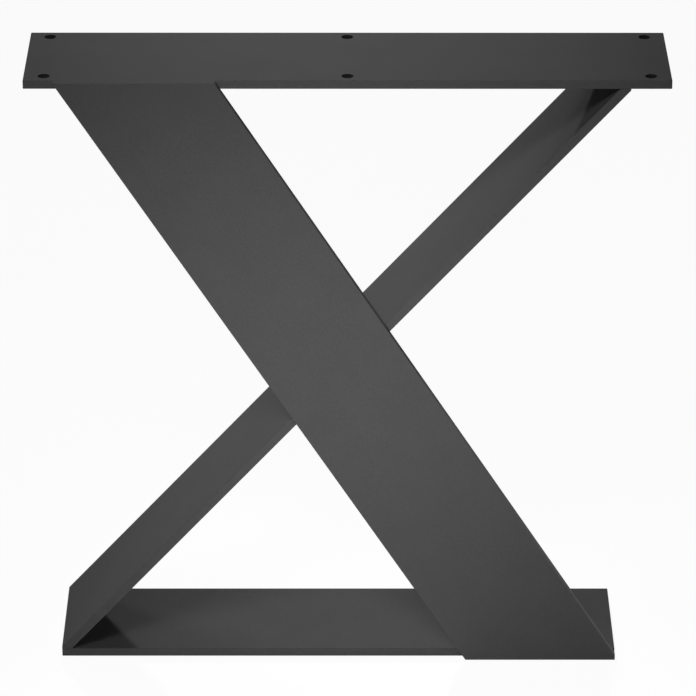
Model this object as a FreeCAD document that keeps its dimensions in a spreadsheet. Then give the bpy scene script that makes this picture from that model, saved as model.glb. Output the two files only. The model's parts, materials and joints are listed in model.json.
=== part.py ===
import FreeCAD, Part
import os
import re
import Sketcher

# X shaped table leg, welded from four flat steel bars.
# Millimetres, +Z up. X runs along the plates, +Y goes away from the face that carries the wide diagonal.
# The origin is on the floor, below the middle of the top plate.

# Sizes that can be chosen freely: name, value, what it is.
SIZES = [
    ("leg_height", 720, "floor to table top"),
    ("plate_depth", 150, "width of the bars of both plates and of the rear diagonal"),
    ("top_length", 715, "length of the top plate"),
    ("top_thickness", 10, "thickness of the top plate"),
    ("foot_thickness", 10, "thickness of the foot plate"),
    ("foot_inset_left", 25, "from the left end of the top plate to that of the foot plate"),
    ("foot_inset_right", 45, "from the right end of the top plate to that of the foot plate"),
    ("front_width", 150, "width of the bar of the front diagonal"),
    ("front_thickness", 10, "thickness of the front diagonal"),
    ("front_inset", 33, "from the left end of the top plate to the front diagonal"),
    ("front_corner_height", 6, "height of the square cut at its lower right corner"),
    ("rear_thickness", 10, "thickness of the rear diagonal"),
    ("rear_tip_height", 2, "height of the square cuts at its two sharp tips"),
    ("hole_diameter", 13, "screw holes in the top plate"),
    ("hole_end_inset", 22.5, "from an end of the top plate to a hole's centre"),
    ("hole_side_inset", 14, "from a long edge of the top plate to a hole's centre"),
    ("edge_radius", 0.8, "rounding of every edge that no weld covers"),
    ("rim_radius", 0.5, "rounding of the rims of the holes"),
    ("weld_leg", 5, "leg of a weld bead, along each face of its joint"),
    ("weld_crown", 0.4, "how far the face of a bead bulges"),
    ("weld_end_gap", 9, "from the end of a bead to the end of its joint"),
]

# Sizes that follow from those: name, formula.
LAYOUT = [
    ("left_end", "-top_length / 2"),
    ("right_end", "top_length / 2"),
    ("front_edge", "-plate_depth / 2"),
    ("back_edge", "plate_depth / 2"),
    ("top_underside", "leg_height - top_thickness"),
    ("foot_left", "left_end + foot_inset_left"),
    ("foot_right", "right_end - foot_inset_right"),
    ("foot_length", "foot_right - foot_left"),
    # The left edge of the front diagonal starts at the top, its right edge ends in the cut corner.
    ("front_left", "left_end + front_inset"),
    ("front_run", "foot_right - front_left"),
    ("front_drop", "leg_height - front_corner_height"),
    ("front_reach", "sqrt(front_run ^ 2 + front_drop ^ 2)"),
    ("front_angle", "atan(front_drop / front_run) + asin(front_width / front_reach)"),
    ("front_end_width", "front_width / sin(front_angle)"),
    ("front_foot_left", "front_left + leg_height / tan(front_angle)"),
    # The upper face of the rear diagonal starts at its lower tip, its lower face ends at its upper tip.
    ("rear_low", "foot_thickness + rear_tip_height"),
    ("rear_high", "top_underside - rear_tip_height"),
    ("rear_rise", "rear_high - rear_low"),
    ("rear_reach", "sqrt(foot_length ^ 2 + rear_rise ^ 2)"),
    ("rear_angle", "atan(rear_rise / foot_length) + asin(rear_thickness / rear_reach)"),
    ("rear_foot_end", "foot_right - (rear_high - foot_thickness) / tan(rear_angle)"),
    ("rear_top_end", "foot_left + (top_underside - rear_low) / tan(rear_angle)"),
    # Where the front diagonal crosses the rear one, measured along the rear one from its lower tip.
    ("crossing_angle", "front_angle + rear_angle"),
    ("crossing_length", "front_width / sin(crossing_angle)"),
    ("crossing_upper", "(front_left - foot_left + (leg_height - rear_low) / tan(front_angle))"
                       " * sin(front_angle) / sin(crossing_angle)"),
    ("crossing_lower", "crossing_upper + rear_thickness / tan(crossing_angle)"),
]

HOLES_ALONG = 3
HOLES_ACROSS = 2
NEAR = 0.001


def fill_sheet(doc):
    """Writes the sizes and the layout into the sheet, one row each."""
    sheet = doc.addObject("Spreadsheet::Sheet", "Sizes")
    rows = [(name, str(value), note) for name, value, note in SIZES]
    rows += [(name, "=" + text, "follows from the sizes above") for name, text in LAYOUT]
    for number, (name, content, note) in enumerate(rows, start=1):
        sheet.set("A%d" % number, name)
        sheet.set("B%d" % number, content)
        sheet.set("C%d" % number, note)
        sheet.setAlias("B%d" % number, name)
    doc.recompute()
    return sheet


doc = FreeCAD.newDocument("x_table_leg")
sheet = fill_sheet(doc)
any_size = re.compile(r"\b(%s)\b" % "|".join(row[0] for row in SIZES + LAYOUT))


def formula(text):
    """Puts the sheet's name before each size in a formula, so that other objects can read it."""
    return any_size.sub(r"Sizes.\1", text)


def measure(text):
    """The number that a formula gives now."""
    return float(sheet.evalExpression(text))


def point_at(x, y):
    return FreeCAD.Vector(measure(x), measure(y), 0)


def new_body(label):
    body = doc.addObject("PartDesign::Body", label)
    body.Label = label
    return body


def place(body, x, y, z, turn="0"):
    """Places a body at a point given by formulas, turned about the Y axis."""
    spot = "create(<<vector>>; %s; %s; %s)" % (formula(x), formula(y), formula(z))
    turned = "create(<<rotation>>; create(<<vector>>; 0; 1; 0); %s)" % formula(turn)
    body.setExpression("Placement", "create(<<placement>>; %s; %s)" % (spot, turned))


def new_sketch(body, name, plane):
    sketch = body.newObject("Sketcher::SketchObject", name)
    origin_plane = [item for item in body.Origin.OriginFeatures if item.Role == plane][0]
    sketch.AttachmentSupport = (origin_plane, [""])
    sketch.MapMode = "FlatFace"
    return sketch


def tie(sketch, kind, parts, text):
    """Adds a dimension to a sketch and ties it to a formula."""
    index = sketch.addConstraint(Sketcher.Constraint(kind, *parts, measure(text)))
    sketch.setExpression("Constraints[%d]" % index, formula(text))


def pin(sketch, item, position, x, y):
    """Holds a point of a line, arc or circle at a place given by formulas."""
    tie(sketch, "DistanceX", (-1, 1, item, position), x)
    tie(sketch, "DistanceY", (-1, 1, item, position), y)


def draw_outline(sketch, corners):
    """Closed outline of straight lines through corners given as pairs of formulas."""
    points = [point_at(x, y) for x, y in corners]
    count = len(points)
    for index in range(count):
        sketch.addGeometry(Part.LineSegment(points[index], points[(index + 1) % count]), False)
    for index in range(count):
        sketch.addConstraint(Sketcher.Constraint("Coincident", index, 2, (index + 1) % count, 1))
    for index, (x, y) in enumerate(corners):
        pin(sketch, index, 1, x, y)


def pad(body, sketch, length, midplane=False):
    feature = body.newObject("PartDesign::Pad", body.Label + "_bar")
    feature.Profile = sketch
    feature.Midplane = midplane
    feature.setExpression("Length", formula(length))
    doc.recompute()
    return feature


def round_edges(body, base, name, radius, is_wanted):
    """Rounds those edges of a feature that the test picks by their curve and middle point."""
    wanted = []
    for number, edge in enumerate(base.Shape.Edges, start=1):
        middle = edge.valueAt((edge.FirstParameter + edge.LastParameter) / 2)
        if is_wanted(edge, middle):
            wanted.append("Edge%d" % number)
    feature = body.newObject("PartDesign::Fillet", body.Label + name)
    feature.Base = (base, wanted)
    feature.setExpression("Radius", formula(radius))
    doc.recompute()
    return feature


def flat_bar(label, left, right, thickness):
    """Flat bar of the plates' depth, lying down, from one X to another."""
    body = new_body(label)
    outline = new_sketch(body, label + "_outline", "XY_Plane")
    draw_outline(outline, [
        (left, "front_edge"),
        (right, "front_edge"),
        (right, "back_edge"),
        (left, "back_edge"),
    ])
    return body, pad(body, outline, thickness)


def drill_holes(body, bar):
    """Cuts one screw hole near the front left corner and repeats it along and across the plate."""
    circle = new_sketch(body, "corner_hole", "XY_Plane")
    x, y = "left_end + hole_end_inset", "front_edge + hole_side_inset"
    radius = measure("hole_diameter / 2")
    circle.addGeometry(Part.Circle(point_at(x, y), FreeCAD.Vector(0, 0, 1), radius), False)
    pin(circle, 0, 3, x, y)
    tie(circle, "Diameter", (0,), "hole_diameter")

    hole = body.newObject("PartDesign::Pocket", "screw_hole")
    hole.Profile = circle
    hole.Type = "ThroughAll"
    hole.Reversed = True
    doc.recompute()

    along = body.newObject("PartDesign::LinearPattern", "holes_along")
    along.Direction = (circle, ["H_Axis"])
    along.setExpression("Length", formula("top_length - 2 * hole_end_inset"))
    along.Occurrences = HOLES_ALONG
    across = body.newObject("PartDesign::LinearPattern", "holes_across")
    across.Direction = (circle, ["V_Axis"])
    across.setExpression("Length", formula("plate_depth - 2 * hole_side_inset"))
    across.Occurrences = HOLES_ACROSS
    grid = body.newObject("PartDesign::MultiTransform", "hole_grid")
    grid.Originals = [hole]
    grid.Transformations = [along, across]
    body.Tip = grid
    doc.recompute()

    one_hole = Part.makeCylinder(radius, measure("top_thickness")).Volume
    expected = bar.Shape.Volume - HOLES_ALONG * HOLES_ACROSS * one_hole
    if abs(grid.Shape.Volume - expected) > NEAR * one_hole:
        raise RuntimeError("the screw holes are not cut as they should be")
    return grid


def make_top_plate():
    """Flat bar under the table top, with two rows of three screw holes."""
    body, bar = flat_bar("top_plate", "left_end", "right_end", "top_thickness")
    drilled = drill_holes(body, bar)
    end, side = measure("right_end"), measure("back_edge")

    def is_rim(edge, middle):
        return isinstance(edge.Curve, Part.Circle)

    def is_outer(edge, middle):
        return abs(abs(middle.x) - end) < NEAR or abs(abs(middle.y) - side) < NEAR

    rimmed = round_edges(body, drilled, "_rims", "rim_radius", is_rim)
    round_edges(body, rimmed, "_edges", "edge_radius", is_outer)
    place(body, "0", "0", "top_underside")
    return body


def make_foot_plate():
    """Flat bar on the floor. Its upper left edge stays square, because the rear diagonal is welded on it."""
    body, bar = flat_bar("foot_plate", "foot_left", "foot_right", "foot_thickness")
    left, top = measure("foot_left"), measure("foot_thickness")

    def is_free(edge, middle):
        return abs(middle.x - left) > NEAR or abs(middle.z - top) > NEAR

    round_edges(body, bar, "_edges", "edge_radius", is_free)
    return body


def make_front_diagonal():
    """Wide bar across the front edges of both plates. Its upper back edge stays square for its weld."""
    body = new_body("front_diagonal")
    outline = new_sketch(body, "front_outline", "XZ_Plane")
    draw_outline(outline, [
        ("front_left", "leg_height"),
        ("front_foot_left", "0"),
        ("foot_right", "0"),
        ("foot_right", "front_corner_height"),
        ("front_left + front_end_width", "leg_height"),
    ])
    bar = pad(body, outline, "front_thickness")
    height, thickness = measure("leg_height"), measure("front_thickness")

    def is_free(edge, middle):
        on_front = abs(middle.y + thickness) < NEAR
        on_back = abs(middle.y) < NEAR and abs(middle.z - height) > NEAR
        return on_front or on_back

    round_edges(body, bar, "_edges", "edge_radius", is_free)
    place(body, "0", "front_edge", "0")
    return body


def make_rear_diagonal():
    """Bar as deep as the plates, between them, with both sharp tips cut off upright."""
    body = new_body("rear_diagonal")
    outline = new_sketch(body, "rear_outline", "XZ_Plane")
    draw_outline(outline, [
        ("foot_left", "foot_thickness"),
        ("rear_foot_end", "foot_thickness"),
        ("foot_right", "rear_high"),
        ("foot_right", "top_underside"),
        ("rear_top_end", "top_underside"),
        ("foot_left", "rear_low"),
    ])
    bar = pad(body, outline, "plate_depth", midplane=True)
    low, high, side = measure("foot_thickness"), measure("top_underside"), measure("back_edge")

    def is_side_edge(edge, middle):
        return low + NEAR < middle.z < high - NEAR and abs(abs(middle.y) - side) < NEAR

    round_edges(body, bar, "_edges", "edge_radius", is_side_edge)
    return body


def draw_bead(sketch, first, second, radius, is_hollow=False):
    """Section of a bead in the corner at the sketch's origin: two legs and a curved face, anticlockwise."""
    corner = FreeCAD.Vector(0, 0, 0)
    start, end = point_at(*first), point_at(*second)
    chord = end - start
    outward = FreeCAD.Vector(chord.y, -chord.x, 0).normalize()
    bulge = measure(radius) - (measure(radius) ** 2 - (chord.Length / 2) ** 2) ** 0.5
    middle = (start + end) * 0.5 + outward * (-bulge if is_hollow else bulge)
    sketch.addGeometry(Part.LineSegment(corner, start), False)
    sketch.addGeometry(Part.LineSegment(end, corner), False)
    sketch.addGeometry(Part.Arc(start, middle, end), False)
    arc_start, arc_end = (2, 1) if is_hollow else (1, 2)
    sketch.addConstraint(Sketcher.Constraint("Coincident", 0, 1, -1, 1))
    sketch.addConstraint(Sketcher.Constraint("Coincident", 1, 2, -1, 1))
    sketch.addConstraint(Sketcher.Constraint("Coincident", 0, 2, 2, arc_start))
    sketch.addConstraint(Sketcher.Constraint("Coincident", 1, 1, 2, arc_end))
    pin(sketch, 0, 2, *first)
    pin(sketch, 1, 1, *second)
    tie(sketch, "Radius", (2,), radius)


def crown_radius(first, second):
    """Radius of a bead's face, from the distance between its legs' ends and its crown."""
    chord_squared = "((%s - (%s)) ^ 2 + (%s - (%s)) ^ 2)" % (first[0], second[0], first[1], second[1])
    return chord_squared + " / (8 * weld_crown) + weld_crown / 2"


def make_bead(label, plane, legs, length, spot, turn="0"):
    """Weld bead, drawn across its joint and pushed along it. The end of each leg is a pair of formulas."""
    body = new_body(label)
    section = new_sketch(body, label + "_section", plane)
    draw_bead(section, legs[0], legs[1], crown_radius(*legs))
    pad(body, section, length, midplane=(plane == "XZ_Plane"))
    place(body, *spot, turn)
    return body


def make_front_beads():
    """Beads behind the front diagonal, in its square corners with the plates and the rear diagonal."""
    plate_run = "front_end_width - 2 * weld_end_gap"
    crossing_run = "crossing_length - 2 * weld_end_gap"
    above = (("weld_leg", "0"), ("0", "weld_leg"))
    below = (("0", "-weld_leg"), ("weld_leg", "0"))
    top_spot = (
        "front_left + top_thickness / tan(front_angle) + weld_end_gap",
        "front_edge",
        "top_underside",
    )
    foot_spot = (
        "front_left + (leg_height - foot_thickness) / tan(front_angle) + weld_end_gap",
        "front_edge",
        "foot_thickness",
    )
    upper_spot = (
        "foot_left + (crossing_upper + weld_end_gap) * cos(rear_angle)",
        "front_edge",
        "rear_low + (crossing_upper + weld_end_gap) * sin(rear_angle)",
    )
    lower_spot = (
        "foot_left + rear_thickness * sin(rear_angle) + (crossing_lower + weld_end_gap) * cos(rear_angle)",
        "front_edge",
        "rear_low - rear_thickness * cos(rear_angle) + (crossing_lower + weld_end_gap) * sin(rear_angle)",
    )
    return [
        make_bead("weld_front_to_top", "YZ_Plane", below, plate_run, top_spot),
        make_bead("weld_front_to_foot", "YZ_Plane", above, plate_run, foot_spot),
        make_bead("weld_crossing_upper", "YZ_Plane", above, crossing_run, upper_spot, "-rear_angle"),
        make_bead("weld_crossing_lower", "YZ_Plane", below, crossing_run, lower_spot, "-rear_angle"),
    ]


def make_rear_beads():
    """Beads across the depth, where the rear diagonal meets the plates."""
    run = "plate_depth - 2 * weld_end_gap"
    along_x, along_z = "weld_leg * cos(rear_angle)", "weld_leg * sin(rear_angle)"
    on_foot = (("weld_leg", "0"), (along_x, along_z))
    under_top = (("-weld_leg", "0"), ("-" + along_x, "-" + along_z))
    beside_tip = (("0", "-rear_tip_height"), ("weld_leg", "0"))
    foot_spot = ("rear_foot_end", "0", "foot_thickness")
    inner_spot = ("rear_top_end", "0", "top_underside")
    outer_spot = ("foot_right", "0", "top_underside")
    return [
        make_bead("weld_rear_to_foot", "XZ_Plane", on_foot, run, foot_spot),
        make_bead("weld_rear_to_top_inner", "XZ_Plane", under_top, run, inner_spot),
        make_bead("weld_rear_to_top_outer", "XZ_Plane", beside_tip, run, outer_spot),
    ]


def make_top_seam():
    """Weld in the rounded front edge of the top plate, behind the front diagonal, ground level with both."""
    body = new_body("weld_top_seam")
    section = new_sketch(body, "weld_top_seam_section", "YZ_Plane")
    draw_bead(section, ("0", "-edge_radius"), ("edge_radius", "0"), "edge_radius", is_hollow=True)
    pad(body, section, "front_end_width - 2 * edge_radius")
    place(body, "front_left + edge_radius", "front_edge", "leg_height")
    return body


def find_faults(bodies):
    """Names every object that failed to build and every body without one sound solid."""
    faults = []
    for item in doc.Objects:
        if "Invalid" in item.State or "Error" in item.State:
            faults.append("%s: %s" % (item.Name, item.State))
    for body in bodies:
        if body.Shape.isNull() or not body.Shape.isValid() or len(body.Shape.Solids) != 1:
            faults.append("%s: no sound solid" % body.Label)
    return faults


bodies = [make_top_plate(), make_foot_plate(), make_front_diagonal(), make_rear_diagonal()]
bodies += make_front_beads() + make_rear_beads() + [make_top_seam()]
doc.recompute()
faults = find_faults(bodies)
if faults:
    raise RuntimeError("; ".join(faults))
for body in bodies:
    box = body.Shape.BoundBox
    print("%-24s %9.0f mm3  X %7.1f %7.1f  Y %6.1f %6.1f  Z %6.1f %6.1f"
          % (body.Label, body.Shape.Volume, box.XMin, box.XMax, box.YMin, box.YMax, box.ZMin, box.ZMax))

os.makedirs("parts", exist_ok=True)
for body in bodies:
    body.Shape.exportStep("parts/%s.step" % body.Label)
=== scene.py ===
# %% [markdown]
# # A table leg of welded flat steel, in matt powder coat
# The real leg is four flat steel bars, 150 mm wide and 10 mm thick, welded together: a drilled plate under
# the table top, a plate on the floor, and two diagonals that cross in an X between them. The bars come ready
# made, at their true size and place. This lesson adds what a maker would see: the coat, the welds, the floor,
# the light and the camera.

# %% Load the bars
import json
import math

import bpy
import numpy as np
from mathutils import Matrix, Vector

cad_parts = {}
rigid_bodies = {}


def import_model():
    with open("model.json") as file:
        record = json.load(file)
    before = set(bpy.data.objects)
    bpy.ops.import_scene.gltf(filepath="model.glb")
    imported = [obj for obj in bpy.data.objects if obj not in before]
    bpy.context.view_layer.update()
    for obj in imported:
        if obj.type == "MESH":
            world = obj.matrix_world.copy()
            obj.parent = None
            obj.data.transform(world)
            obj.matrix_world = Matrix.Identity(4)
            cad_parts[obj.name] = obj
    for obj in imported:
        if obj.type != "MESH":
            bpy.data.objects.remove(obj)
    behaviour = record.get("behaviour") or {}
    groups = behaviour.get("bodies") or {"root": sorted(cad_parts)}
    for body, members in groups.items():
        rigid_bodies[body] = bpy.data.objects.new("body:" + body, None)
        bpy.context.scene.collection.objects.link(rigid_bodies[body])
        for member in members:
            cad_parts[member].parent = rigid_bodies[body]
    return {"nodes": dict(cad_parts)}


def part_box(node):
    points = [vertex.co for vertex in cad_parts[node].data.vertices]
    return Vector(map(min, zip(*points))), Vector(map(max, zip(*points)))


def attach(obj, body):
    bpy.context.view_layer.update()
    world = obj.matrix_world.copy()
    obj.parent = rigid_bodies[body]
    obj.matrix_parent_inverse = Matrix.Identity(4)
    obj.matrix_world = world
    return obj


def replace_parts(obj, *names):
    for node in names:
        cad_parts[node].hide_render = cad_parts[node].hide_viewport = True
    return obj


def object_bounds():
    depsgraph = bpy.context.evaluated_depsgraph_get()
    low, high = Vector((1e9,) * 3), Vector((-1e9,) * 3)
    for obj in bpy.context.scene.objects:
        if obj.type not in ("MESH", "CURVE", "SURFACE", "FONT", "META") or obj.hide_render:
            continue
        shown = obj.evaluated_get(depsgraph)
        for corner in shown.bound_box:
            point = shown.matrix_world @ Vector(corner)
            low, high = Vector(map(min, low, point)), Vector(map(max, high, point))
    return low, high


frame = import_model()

steel_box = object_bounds()
MM = 0.001
print("pieces:", ", ".join(sorted(frame["nodes"])))
print("size in mm:", [round(side / MM, 1) for side in steel_box[1] - steel_box[0]])

# %% [markdown]
# Paint charts give colours as sRGB hex values, but a renderer adds up light, so it needs linear numbers.
# A colour could be typed in linear form at once, which nobody can read on a chart. One small function
# turns the first into the second, and every colour below goes through it.


# %% Colours
def linear(code):
    """Linear red, green, blue and alpha of an sRGB colour such as #4A4A4A."""
    shares = [int(code[start:start + 2], 16) / 255 for start in (1, 3, 5)]
    return [s / 12.92 if s <= 0.04045 else ((s + 0.055) / 1.055) ** 2.4 for s in shares] + [1.0]


print("mid grey #808080 is", round(linear("#808080")[0], 3), "in linear light")

# %% [markdown]
# A material is a small network of nodes. Each node could be made in four or five lines, which hides what
# it is for. The first helper makes one node with its settings, and fills or links its inputs, in one call.
# The second clears the nodes that a new material or world starts with.


# %% Adding a node
def add(tree, kind, inputs=(), **settings):
    """One node. inputs gives each of its sockets a number, a colour or another node's output."""
    node = tree.nodes.new(kind)
    for name, value in settings.items():
        setattr(node, name, value)
    for socket, value in dict(inputs).items():
        if isinstance(value, bpy.types.NodeSocket):
            tree.links.new(value, node.inputs[socket])
        else:
            node.inputs[socket].default_value = value
    return node


def empty_tree(owner):
    """The node tree of a material or a world, with no nodes left in it."""
    owner.use_nodes = True
    owner.node_tree.nodes.clear()
    return owner.node_tree


# %% [markdown]
# ## Powder coat
# The coat is polyester powder, blown on dry and baked at 180 degrees until it melts to a skin of about
# 0.1 mm. It never flows out quite flat. Waves 3 mm wide and some hundredths of a millimetre high stay in it,
# which painters call orange peel, and they make a soft gleam look slightly woolly. Matting agent adds grain
# of 0.2 to 0.4 mm, like the finest sandpaper, which spreads a reflection wide and takes the shine away. It is
# drawn 0.8 mm wide here, because real grain is finer than a pixel even in a close view.
# A photograph of paint would repeat and blur. Noise in the object's own millimetres has no seams, runs on
# from one bar to the next, and holds in a close view, so clouds, waves and grain are three noises here.

# %% The noises of the coat
CLOUD_WIDTH = 45 * MM
PEEL_WIDTH = 3 * MM
GRAIN_WIDTH = 0.8 * MM
NOISE_DETAIL = 2.0

coat = bpy.data.materials.new("matt_powder_coat")
nodes = empty_tree(coat)
place = add(nodes, "ShaderNodeTexCoord").outputs["Object"]
widths = (CLOUD_WIDTH, PEEL_WIDTH, GRAIN_WIDTH)
cloud, peel, grain = [
    add(nodes, "ShaderNodeTexNoise", {
        "Vector": place, "Scale": 1 / width, "Detail": NOISE_DETAIL}).outputs["Fac"]
    for width in widths
]
plate_length = steel_box[1].x - steel_box[0].x
print("clouds, waves and grains along the top plate:", [round(plate_length / width) for width in widths])

# %% [markdown]
# The walls of the six screw holes get a darker grey. This is painted shade: it stands in for the shade that
# falls inside the narrow holes. The walls could be faces with a colour of their own, but the bars stay as
# they come,
# so the coat itself asks how far a point lies from the nearest hole. The holes lie in two rows at even steps:
# folding the plate over, step by step, brings all six to the same place.

# %% Painted shade in the screw holes
HOLE_STEP, HOLE_ROW = 335 * MM, 61 * MM
HOLE_REACH = 6.7 * MM
PLATE_MIDDLE, WALL_HALF = 715 * MM, 4.7 * MM

spot = add(nodes, "ShaderNodeSeparateXYZ", {"Vector": place}).outputs
along = add(nodes, "ShaderNodeMath", {0: spot["X"], 1: HOLE_STEP / 2, 2: -HOLE_STEP / 2}, operation="WRAP")
depth = add(nodes, "ShaderNodeMath", {0: spot["Y"]}, operation="ABSOLUTE")
aside = add(nodes, "ShaderNodeMath", {0: depth.outputs[0], 1: HOLE_ROW}, operation="SUBTRACT")
flat = add(nodes, "ShaderNodeCombineXYZ", {"X": along.outputs[0], "Y": aside.outputs[0]})
away = add(nodes, "ShaderNodeVectorMath", {0: flat.outputs[0]}, operation="LENGTH")
close_by = add(nodes, "ShaderNodeMath", {0: away.outputs["Value"], 1: HOLE_REACH}, operation="LESS_THAN")
in_plate = add(nodes, "ShaderNodeMath", {0: spot["Z"], 1: PLATE_MIDDLE, 2: WALL_HALF}, operation="COMPARE")
# the mask of the painted shade on the walls of the screw holes
hole_shade_mask = add(nodes, "ShaderNodeMath", {0: close_by.outputs[0], 1: in_plate.outputs[0]}, operation="MULTIPLY")
print("holes at x in mm:", [round(step * HOLE_STEP / MM) for step in (-1, 0, 1)])

# %% [markdown]
# The eye sees three things in the coat: its grey, how wide it spreads a reflection, and its relief. The
# grey drifts a little with the thickness of the skin, and is darker in the hollows between the grains, where
# light gets lost. The grain also makes the spread uneven, which keeps large flat faces from looking like
# plastic film. The two reliefs are bumps, one on top of the other, because both are far too low to change
# the outline. Bare paint of this kind mirrors 4 percent of the light, but the grain swallows nearly all of
# it, so the sheen is set low.
# A Mix node has inputs called A and B for numbers, for vectors and for colours. So the ones for colours are
# chosen by their place.

# %% The look of the coat
THIN_GREY, THICK_GREY = "#4E4E4E", "#545454"
HOLLOW_GREY = "#383838"
# painted shade: the darker grey of the screw hole walls, where shade falls inside the holes
HOLE_SHADE_GREY = "#2A2A2A"
ROUGHNESS_LOW, ROUGHNESS_HIGH = 0.62, 0.74
POLYESTER_IOR = 1.5
SHEEN_LEVEL = 0.01
PEEL_HEIGHT = 0.04 * MM
GRAIN_HEIGHT = 0.016 * MM
SHARE, COLOUR_A, COLOUR_B, COLOUR_OUT = 0, 6, 7, 2

drift = add(nodes, "ShaderNodeMix", data_type="RGBA", inputs={
    SHARE: cloud, COLOUR_A: linear(THIN_GREY), COLOUR_B: linear(THICK_GREY)})
open_grey = add(nodes, "ShaderNodeMix", data_type="RGBA", inputs={
    SHARE: grain, COLOUR_A: linear(HOLLOW_GREY), COLOUR_B: drift.outputs[COLOUR_OUT]})
# the walls of the screw holes take the painted shade grey
grey = add(nodes, "ShaderNodeMix", data_type="RGBA", inputs={
    SHARE: hole_shade_mask.outputs[0], COLOUR_A: open_grey.outputs[COLOUR_OUT], COLOUR_B: linear(HOLE_SHADE_GREY)})
spread = add(nodes, "ShaderNodeMapRange", {"Value": grain, "To Min": ROUGHNESS_LOW, "To Max": ROUGHNESS_HIGH})
waves = add(nodes, "ShaderNodeBump", {"Height": peel, "Distance": PEEL_HEIGHT})
relief = add(nodes, "ShaderNodeBump",
             {"Height": grain, "Distance": GRAIN_HEIGHT, "Normal": waves.outputs["Normal"]})
skin = add(nodes, "ShaderNodeBsdfPrincipled", {
    "Base Color": grey.outputs[COLOUR_OUT],
    "Roughness": spread.outputs["Result"],
    "Normal": relief.outputs["Normal"],
    "IOR": POLYESTER_IOR,
    "Specular IOR Level": SHEEN_LEVEL,
})
add(nodes, "ShaderNodeOutputMaterial", {"Surface": skin.outputs["BSDF"]})

for node in frame["nodes"].values():
    node.data.materials.clear()
    node.data.materials.append(coat)
print("coated pieces:", len(frame["nodes"]))

# %% [markdown]
# ## Welds
# The bars are joined by fillet welds, beads that a welder lays by hand into the corner of two bars. The
# molten pool freezes in steps, so a bead is a row of overlapping scales 3 mm apart, each a crescent, and
# both its ends are rounded. The coat runs over it and softens the scales.
# Scales could be a bump on a smooth bead, but in a low view they break the outline of the bead, so they are
# real shape here: a ring of points every third of a millimetre, set out along the corner.

# %% Sizes of a bead
SCALE_PITCH = 3.0 * MM
SCALE_HEIGHT = 0.3 * MM
SCALE_BOW = 1.6 * MM
CROWN = 0.4 * MM
RING_STEP = 0.35 * MM
POINTS_ACROSS = 14
print("points in a ring:", POINTS_ACROSS + 1)


# %% [markdown]
# The scales need a height for every point of the bead. A sine wave would be too even, so the pools get
# slightly uneven lengths first, and each point then asks which pool it lies in and how far along it is. A
# scale rises faster than it falls, and it fades out towards both sides of the bead.


# %% The height of the scales
PITCH_SPREAD = 0.1
SPARE_POOLS = 6
RISE_POWER = 0.6
FADE_POWER = 0.5
rng = np.random.default_rng(7)


def pool_edges(length):
    """Where the pools of a bead of this length start, from before its start to past its end."""
    spread = PITCH_SPREAD * rng.standard_normal(round(length / SCALE_PITCH) + SPARE_POOLS)
    return np.cumsum(SCALE_PITCH * (1 + spread)) - SCALE_PITCH


def arch(across):
    """A curve from 0 over 1 back to 0, as across goes from 0 to 1 over the face of the bead."""
    return 4 * across * (1 - across)


def scale_height(distance, across, pools):
    """Height of the scales at distances along the bead."""
    bowed = distance + SCALE_BOW * arch(across)
    pool = np.clip(np.searchsorted(pools, bowed) - 1, 0, len(pools) - 2)
    share = np.clip((bowed - pools[pool]) / (pools[pool + 1] - pools[pool]), 0, 1)
    return SCALE_HEIGHT * np.sin(math.pi * share ** RISE_POWER) * np.sin(math.pi * across) ** FADE_POWER


# %% [markdown]
# A mesh by itself doesn't show. It needs an object with a name and a place, and that object has to be in the
# scene. The beads, the floor, the lamps and the camera all go through this helper.


# %% Showing a thing
def show(name, data):
    """A new object in the scene, with this name and this mesh, lamp or camera."""
    thing = bpy.data.objects.new(name, data)
    bpy.context.scene.collection.objects.link(thing)
    return thing


# %% [markdown]
# A bead is known by five facts: where its corner starts and ends, and the way and length of its leg up each
# of the two bars. Rings of points across it are joined by four-sided faces into one closed skin. Near each
# end the legs shrink along a quarter circle, which rounds the end. Where the two legs come in the wrong
# order the skin would be inside out, so they change places first.


# %% One bead
END_SHARE = 0.02
SHARP_ANGLE = math.radians(50)


def bead(name, start, end, leg_a, leg_b):
    """Rippled weld bead in the corner from start to end. leg_a and leg_b are vectors up the two bars."""
    axis = end - start
    if axis.cross(leg_b - leg_a).dot(leg_a + leg_b) < 0:
        leg_a, leg_b = leg_b, leg_a
    out = axis.cross(leg_b - leg_a).normalized()
    distance = np.linspace(0, axis.length, round(axis.length / RING_STEP) + 1)
    reach = max(leg_a.length, leg_b.length)
    from_end = np.minimum(distance, axis.length - distance)
    taper = np.sqrt(1 - (1 - np.clip(from_end / reach, END_SHARE, 1)) ** 2)[:, None]

    across = np.linspace(0, 1, POINTS_ACROSS)[None, :]
    bulge = CROWN * arch(across) + scale_height(distance[:, None], across, pool_edges(axis.length))
    corner = np.array(start) + distance[:, None] * np.array(axis.normalized())
    legs = (1 - across)[..., None] * np.array(leg_a) + across[..., None] * np.array(leg_b)
    face = corner[:, None, :] + taper[..., None] * (legs + bulge[..., None] * np.array(out))
    rings = np.concatenate([corner[:, None, :], face], axis=1)

    count = POINTS_ACROSS + 1
    rows = range(0, count * len(distance), count)
    quads = [
        (near + i, far + i, far + (i + 1) % count, near + (i + 1) % count)
        for near, far in zip(rows[:-1], rows[1:]) for i in range(count)
    ]
    caps = [tuple(range(count)), tuple(range(rows[-1], rows[-1] + count))[::-1]]
    mesh = bpy.data.meshes.new(name)
    mesh.from_pydata(rings.reshape(-1, 3).tolist(), [], quads + caps)
    mesh.shade_smooth()
    mesh.set_sharp_from_angle(angle=SHARP_ANGLE)
    mesh.materials.append(coat)
    return show(name, mesh)


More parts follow.
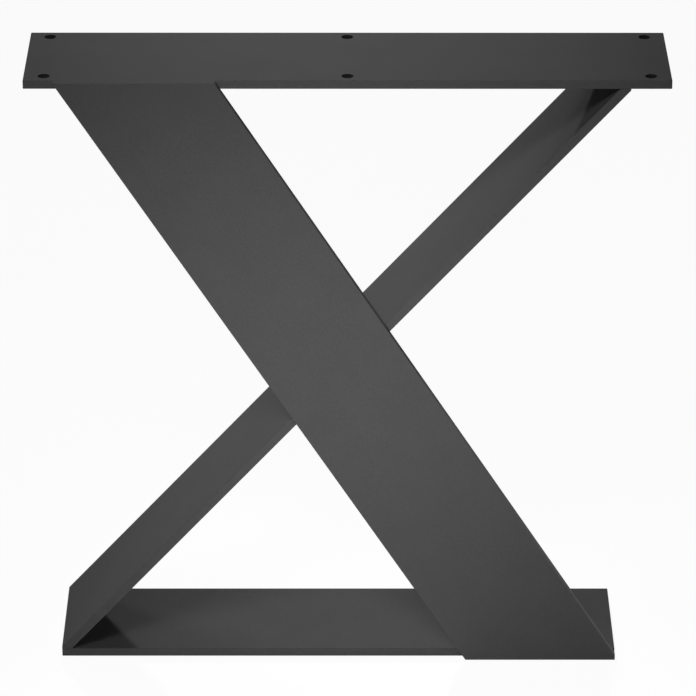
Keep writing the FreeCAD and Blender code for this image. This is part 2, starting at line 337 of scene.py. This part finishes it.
# %% [markdown]
# The beads lie in corners that the bars already set, so nothing is measured twice: the boxes of the bars
# give the heights and edges, and the box of each plain bead gives where it starts and ends. Only the lean
# of the rear diagonal is worked out, from its own length, rise and thickness.

# %% Where the corners are
BAR_THICKNESS = 10 * MM
TIP_HEIGHT = 2 * MM
WELD_LEG = 5 * MM

low, high = 0, 1
top, foot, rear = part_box("top_plate"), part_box("foot_plate"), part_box("rear_diagonal")
run = rear[high].x - rear[low].x
rise = rear[high].z - rear[low].z - 2 * TIP_HEIGHT
lean = math.atan2(rise, run) + math.asin(BAR_THICKNESS / math.hypot(run, rise))
up_bar = Vector((math.cos(lean), 0, math.sin(lean)))
off_bar = Vector((-math.sin(lean), 0, math.cos(lean)))
east, north, up = Vector((1, 0, 0)), Vector((0, 1, 0)), Vector((0, 0, 1))
print("the rear diagonal leans", round(math.degrees(lean), 2), "degrees")

# %% [markdown]
# Seven beads follow. Two run along the plates behind the front diagonal, two follow the rear diagonal
# across the back of the front one, and three run across the depth where the rear diagonal meets the plates.

# %% The seven beads
front_y = top[low].y
for name, level, way in (("weld_front_to_top", top[low].z, -up), ("weld_front_to_foot", foot[high].z, up)):
    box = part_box(name)
    ends = [Vector((box[side].x, front_y, level)) for side in (low, high)]
    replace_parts(bead(name + "_bead", *ends, WELD_LEG * north, WELD_LEG * way), name)

for name, way in (("weld_crossing_upper", off_bar), ("weld_crossing_lower", -off_bar)):
    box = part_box(name)
    leg = WELD_LEG * way
    start = Vector((box[low].x - min(leg.x, 0), front_y, box[low].z - min(leg.z, 0)))
    end = Vector((box[high].x - max(leg.x, 0), front_y, box[high].z - max(leg.z, 0)))
    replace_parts(bead(name + "_bead", start, end, WELD_LEG * north, leg), name)

for name, side, level, legs in (
    ("weld_rear_to_foot", low, foot[high].z, (WELD_LEG * east, WELD_LEG * up_bar)),
    ("weld_rear_to_top_inner", high, top[low].z, (-WELD_LEG * east, -WELD_LEG * up_bar)),
    ("weld_rear_to_top_outer", low, top[low].z, (WELD_LEG * east, -TIP_HEIGHT * up)),
):
    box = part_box(name)
    ends = [Vector((box[side].x, box[end].y, level)) for end in (low, high)]
    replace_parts(bead(name + "_bead", *ends, *legs), name)

beads = [piece for piece in bpy.data.objects if piece.name.endswith("_bead")]
for piece in beads:
    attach(piece, "root")
print("beads:", len(beads), "faces:", sum(len(piece.data.polygons) for piece in beads))

# %% [markdown]
# ## Floor
# The leg stands on a plain white studio floor. A white floor under lamps alone comes out grey, and more
# light would bleach the leg. So the floor is a mix: part is matt white paint, which takes the shadow of the
# leg, and for rays from the camera or a reflection the larger part glows at exactly white.

# %% The floor
FLOOR_RADIUS = 9.0
FLOOR_CORNERS = 96
FLOOR_GAP = 0.1 * MM
FLOOR_PAINT = "#F2F2F2"
FLOOR_GLOW = 0.95
WHITE = "#FFFFFF"
WHITE_LEVEL = 1.0

floor_mesh = bpy.data.meshes.new("floor")
corners = [(FLOOR_RADIUS * math.cos(turn), FLOOR_RADIUS * math.sin(turn), -FLOOR_GAP)
           for turn in np.linspace(0, 2 * math.pi, FLOOR_CORNERS, endpoint=False)]
floor_mesh.from_pydata(corners, [], [tuple(range(len(corners)))])
floor = show("floor", floor_mesh)


def seen_share(tree, share):
    """share for rays from the camera, a reflection or through glass, and 0 for the rest."""
    path = add(tree, "ShaderNodeLightPath")
    both = add(tree, "ShaderNodeMath", operation="MAXIMUM",
               inputs={0: path.outputs["Is Camera Ray"], 1: path.outputs["Is Glossy Ray"]})
    every = add(tree, "ShaderNodeMath", operation="MAXIMUM",
                inputs={0: both.outputs[0], 1: path.outputs["Is Transmission Ray"]})
    return add(tree, "ShaderNodeMath", {0: every.outputs[0], 1: share}, operation="MULTIPLY").outputs[0]


paint = bpy.data.materials.new("studio_floor_paint")
tree = empty_tree(paint)
matt = add(tree, "ShaderNodeBsdfDiffuse", {"Color": linear(FLOOR_PAINT)})
glow = add(tree, "ShaderNodeEmission", {"Color": linear(WHITE), "Strength": WHITE_LEVEL})
seen = seen_share(tree, FLOOR_GLOW)
mixed = add(tree, "ShaderNodeMixShader", {0: seen, 1: matt.outputs[0], 2: glow.outputs[0]})
add(tree, "ShaderNodeOutputMaterial", {"Surface": mixed.outputs[0]})
floor_mesh.materials.append(paint)
print("floor of", round(math.pi * FLOOR_RADIUS ** 2), "square metres")

# %% [markdown]
# ## Light
# A leg like this is photographed in a white tent, lit by a few lamps. The tent is the world: it gives a
# little light from all sides and is seen as plain white, also in a reflection.

# %% The world
TENT_LEVEL = 0.10

world = bpy.data.worlds.new("white_tent")
bpy.context.scene.world = world
tree = empty_tree(world)
tent = add(tree, "ShaderNodeBackground", {"Color": linear(WHITE), "Strength": TENT_LEVEL})
backdrop = add(tree, "ShaderNodeBackground", {"Color": linear(WHITE), "Strength": WHITE_LEVEL})
seen = seen_share(tree, 1.0)
mixed = add(tree, "ShaderNodeMixShader", {0: seen, 1: tent.outputs[0], 2: backdrop.outputs[0]})
add(tree, "ShaderNodeOutputWorld", {"Surface": mixed.outputs[0]})
print("the tent's light:", TENT_LEVEL, "of what the camera sees")

# %% [markdown]
# A large square softbox lights a flat bar evenly from end to end. In the photo the middle of the leg is
# brightest and its corners fall away, so each lamp is a spot whose edge is soft all the way to its centre.
# Every lamp stands 3 m from the point it is aimed at, which is just above the middle of the leg unless the
# lamp has a point of its own. So a lamp is known by how far round it stands, 0 degrees being in front and 90
# on the right, by how high it stands, and by how wide it reaches at the leg.
# Even a matt coat mirrors a lamp when it is looked at along the plates, and goes pale there. Photographers
# take that away with crossed filters on lamp and lens. Here the lamps are hidden from reflections instead.


# %% Spots
AIM = Vector((-0.01, 0, 0.38))
LAMP_DISTANCE = 3.0
SOFT_TO_THE_CENTRE = 1.0


def soft_spot(name, around, above, radius, reach, watts, aim=AIM):
    """Lamp of a radius that stands around and above its aim by degrees, and lights it out to reach metres."""
    turn, climb = math.radians(around), math.radians(above)
    way = Vector((math.sin(turn) * math.cos(climb), -math.cos(turn) * math.cos(climb), math.sin(climb)))
    lamp = bpy.data.lights.new(name, "SPOT")
    lamp.energy = watts
    lamp.shadow_soft_size = radius
    lamp.spot_size = 2 * math.atan(reach / LAMP_DISTANCE)
    lamp.spot_blend = SOFT_TO_THE_CENTRE
    holder = show(name, lamp)
    holder.location = aim + LAMP_DISTANCE * way
    holder.rotation_mode = "QUATERNION"
    holder.rotation_quaternion = way.to_track_quat("Z", "Y")
    holder.visible_camera = False
    holder.visible_glossy = False


# %% [markdown]
# The front lamp is level with the leg, so it lights only what stands upright: the wide front diagonal and
# the edges of the plates. The small, strong one stands behind. It skims over the rear diagonal and the foot
# plate, and leaves a dark triangle under the right end of the top plate and one above the left end of the
# foot plate, both with a sharp edge. A wide lamp high in front and one behind on the left fill in, and are
# too wide to draw an edge. The fifth is level with the lower right corner and draws a thin light line along
# the front diagonal's side. The last one hangs straight above and lights little but the top plate, because
# the rest lies in its shadow.

# %% Six lamps
soft_spot("front_spot", around=0, above=2, radius=0.3, reach=0.57, watts=340)
soft_spot("back_spot", around=184, above=25, radius=0.08, reach=0.61, watts=545)
soft_spot("high_front_spot", around=340, above=50, radius=0.5, reach=0.70, watts=214)
soft_spot("back_left_spot", around=215, above=30, radius=0.5, reach=0.62, watts=180,
          aim=Vector((-0.08, 0, 0.32)))
soft_spot("right_spot", around=90, above=0, radius=0.1, reach=0.36, watts=220, aim=Vector((0.23, 0, 0.10)))
soft_spot("top_spot", around=0, above=90, radius=0.3, reach=1.2, watts=50, aim=Vector((0, 0, 0.72)))
print("lamps:", [lamp.name for lamp in bpy.data.lights])

# %% [markdown]
# ## Camera
# The view is from the front, 2.46 m up and 4.55 m away, through a long lens. A long lens from far away keeps
# the two plates nearly the same width, where a near one would spread the top. The camera could be aimed at
# a point, but its small turn and tilt are then lost, so it is set by its angles.

# %% The camera
STAND = Vector((-10.1, -4550.6, 2457.9)) * MM
PITCH_DOWN = math.radians(24.733)
TURN_RIGHT = math.radians(0.140)
TILT = math.radians(0.065)
SENSOR_WIDTH, FOCAL_LENGTH = 36.0, 225.41

camera = bpy.data.cameras.new("camera")
camera.sensor_width = SENSOR_WIDTH
camera.lens = FOCAL_LENGTH
eye = show("camera", camera)
eye.matrix_world = (Matrix.Translation(STAND) @ Matrix.Rotation(-TURN_RIGHT, 4, "Z")
                    @ Matrix.Rotation(math.pi / 2 - PITCH_DOWN, 4, "X") @ Matrix.Rotation(TILT, 4, "Z"))
bpy.context.scene.camera = eye
bpy.context.scene.view_settings.view_transform = "Standard"
print("distance to the leg:", round((STAND - AIM).length, 2), "m")
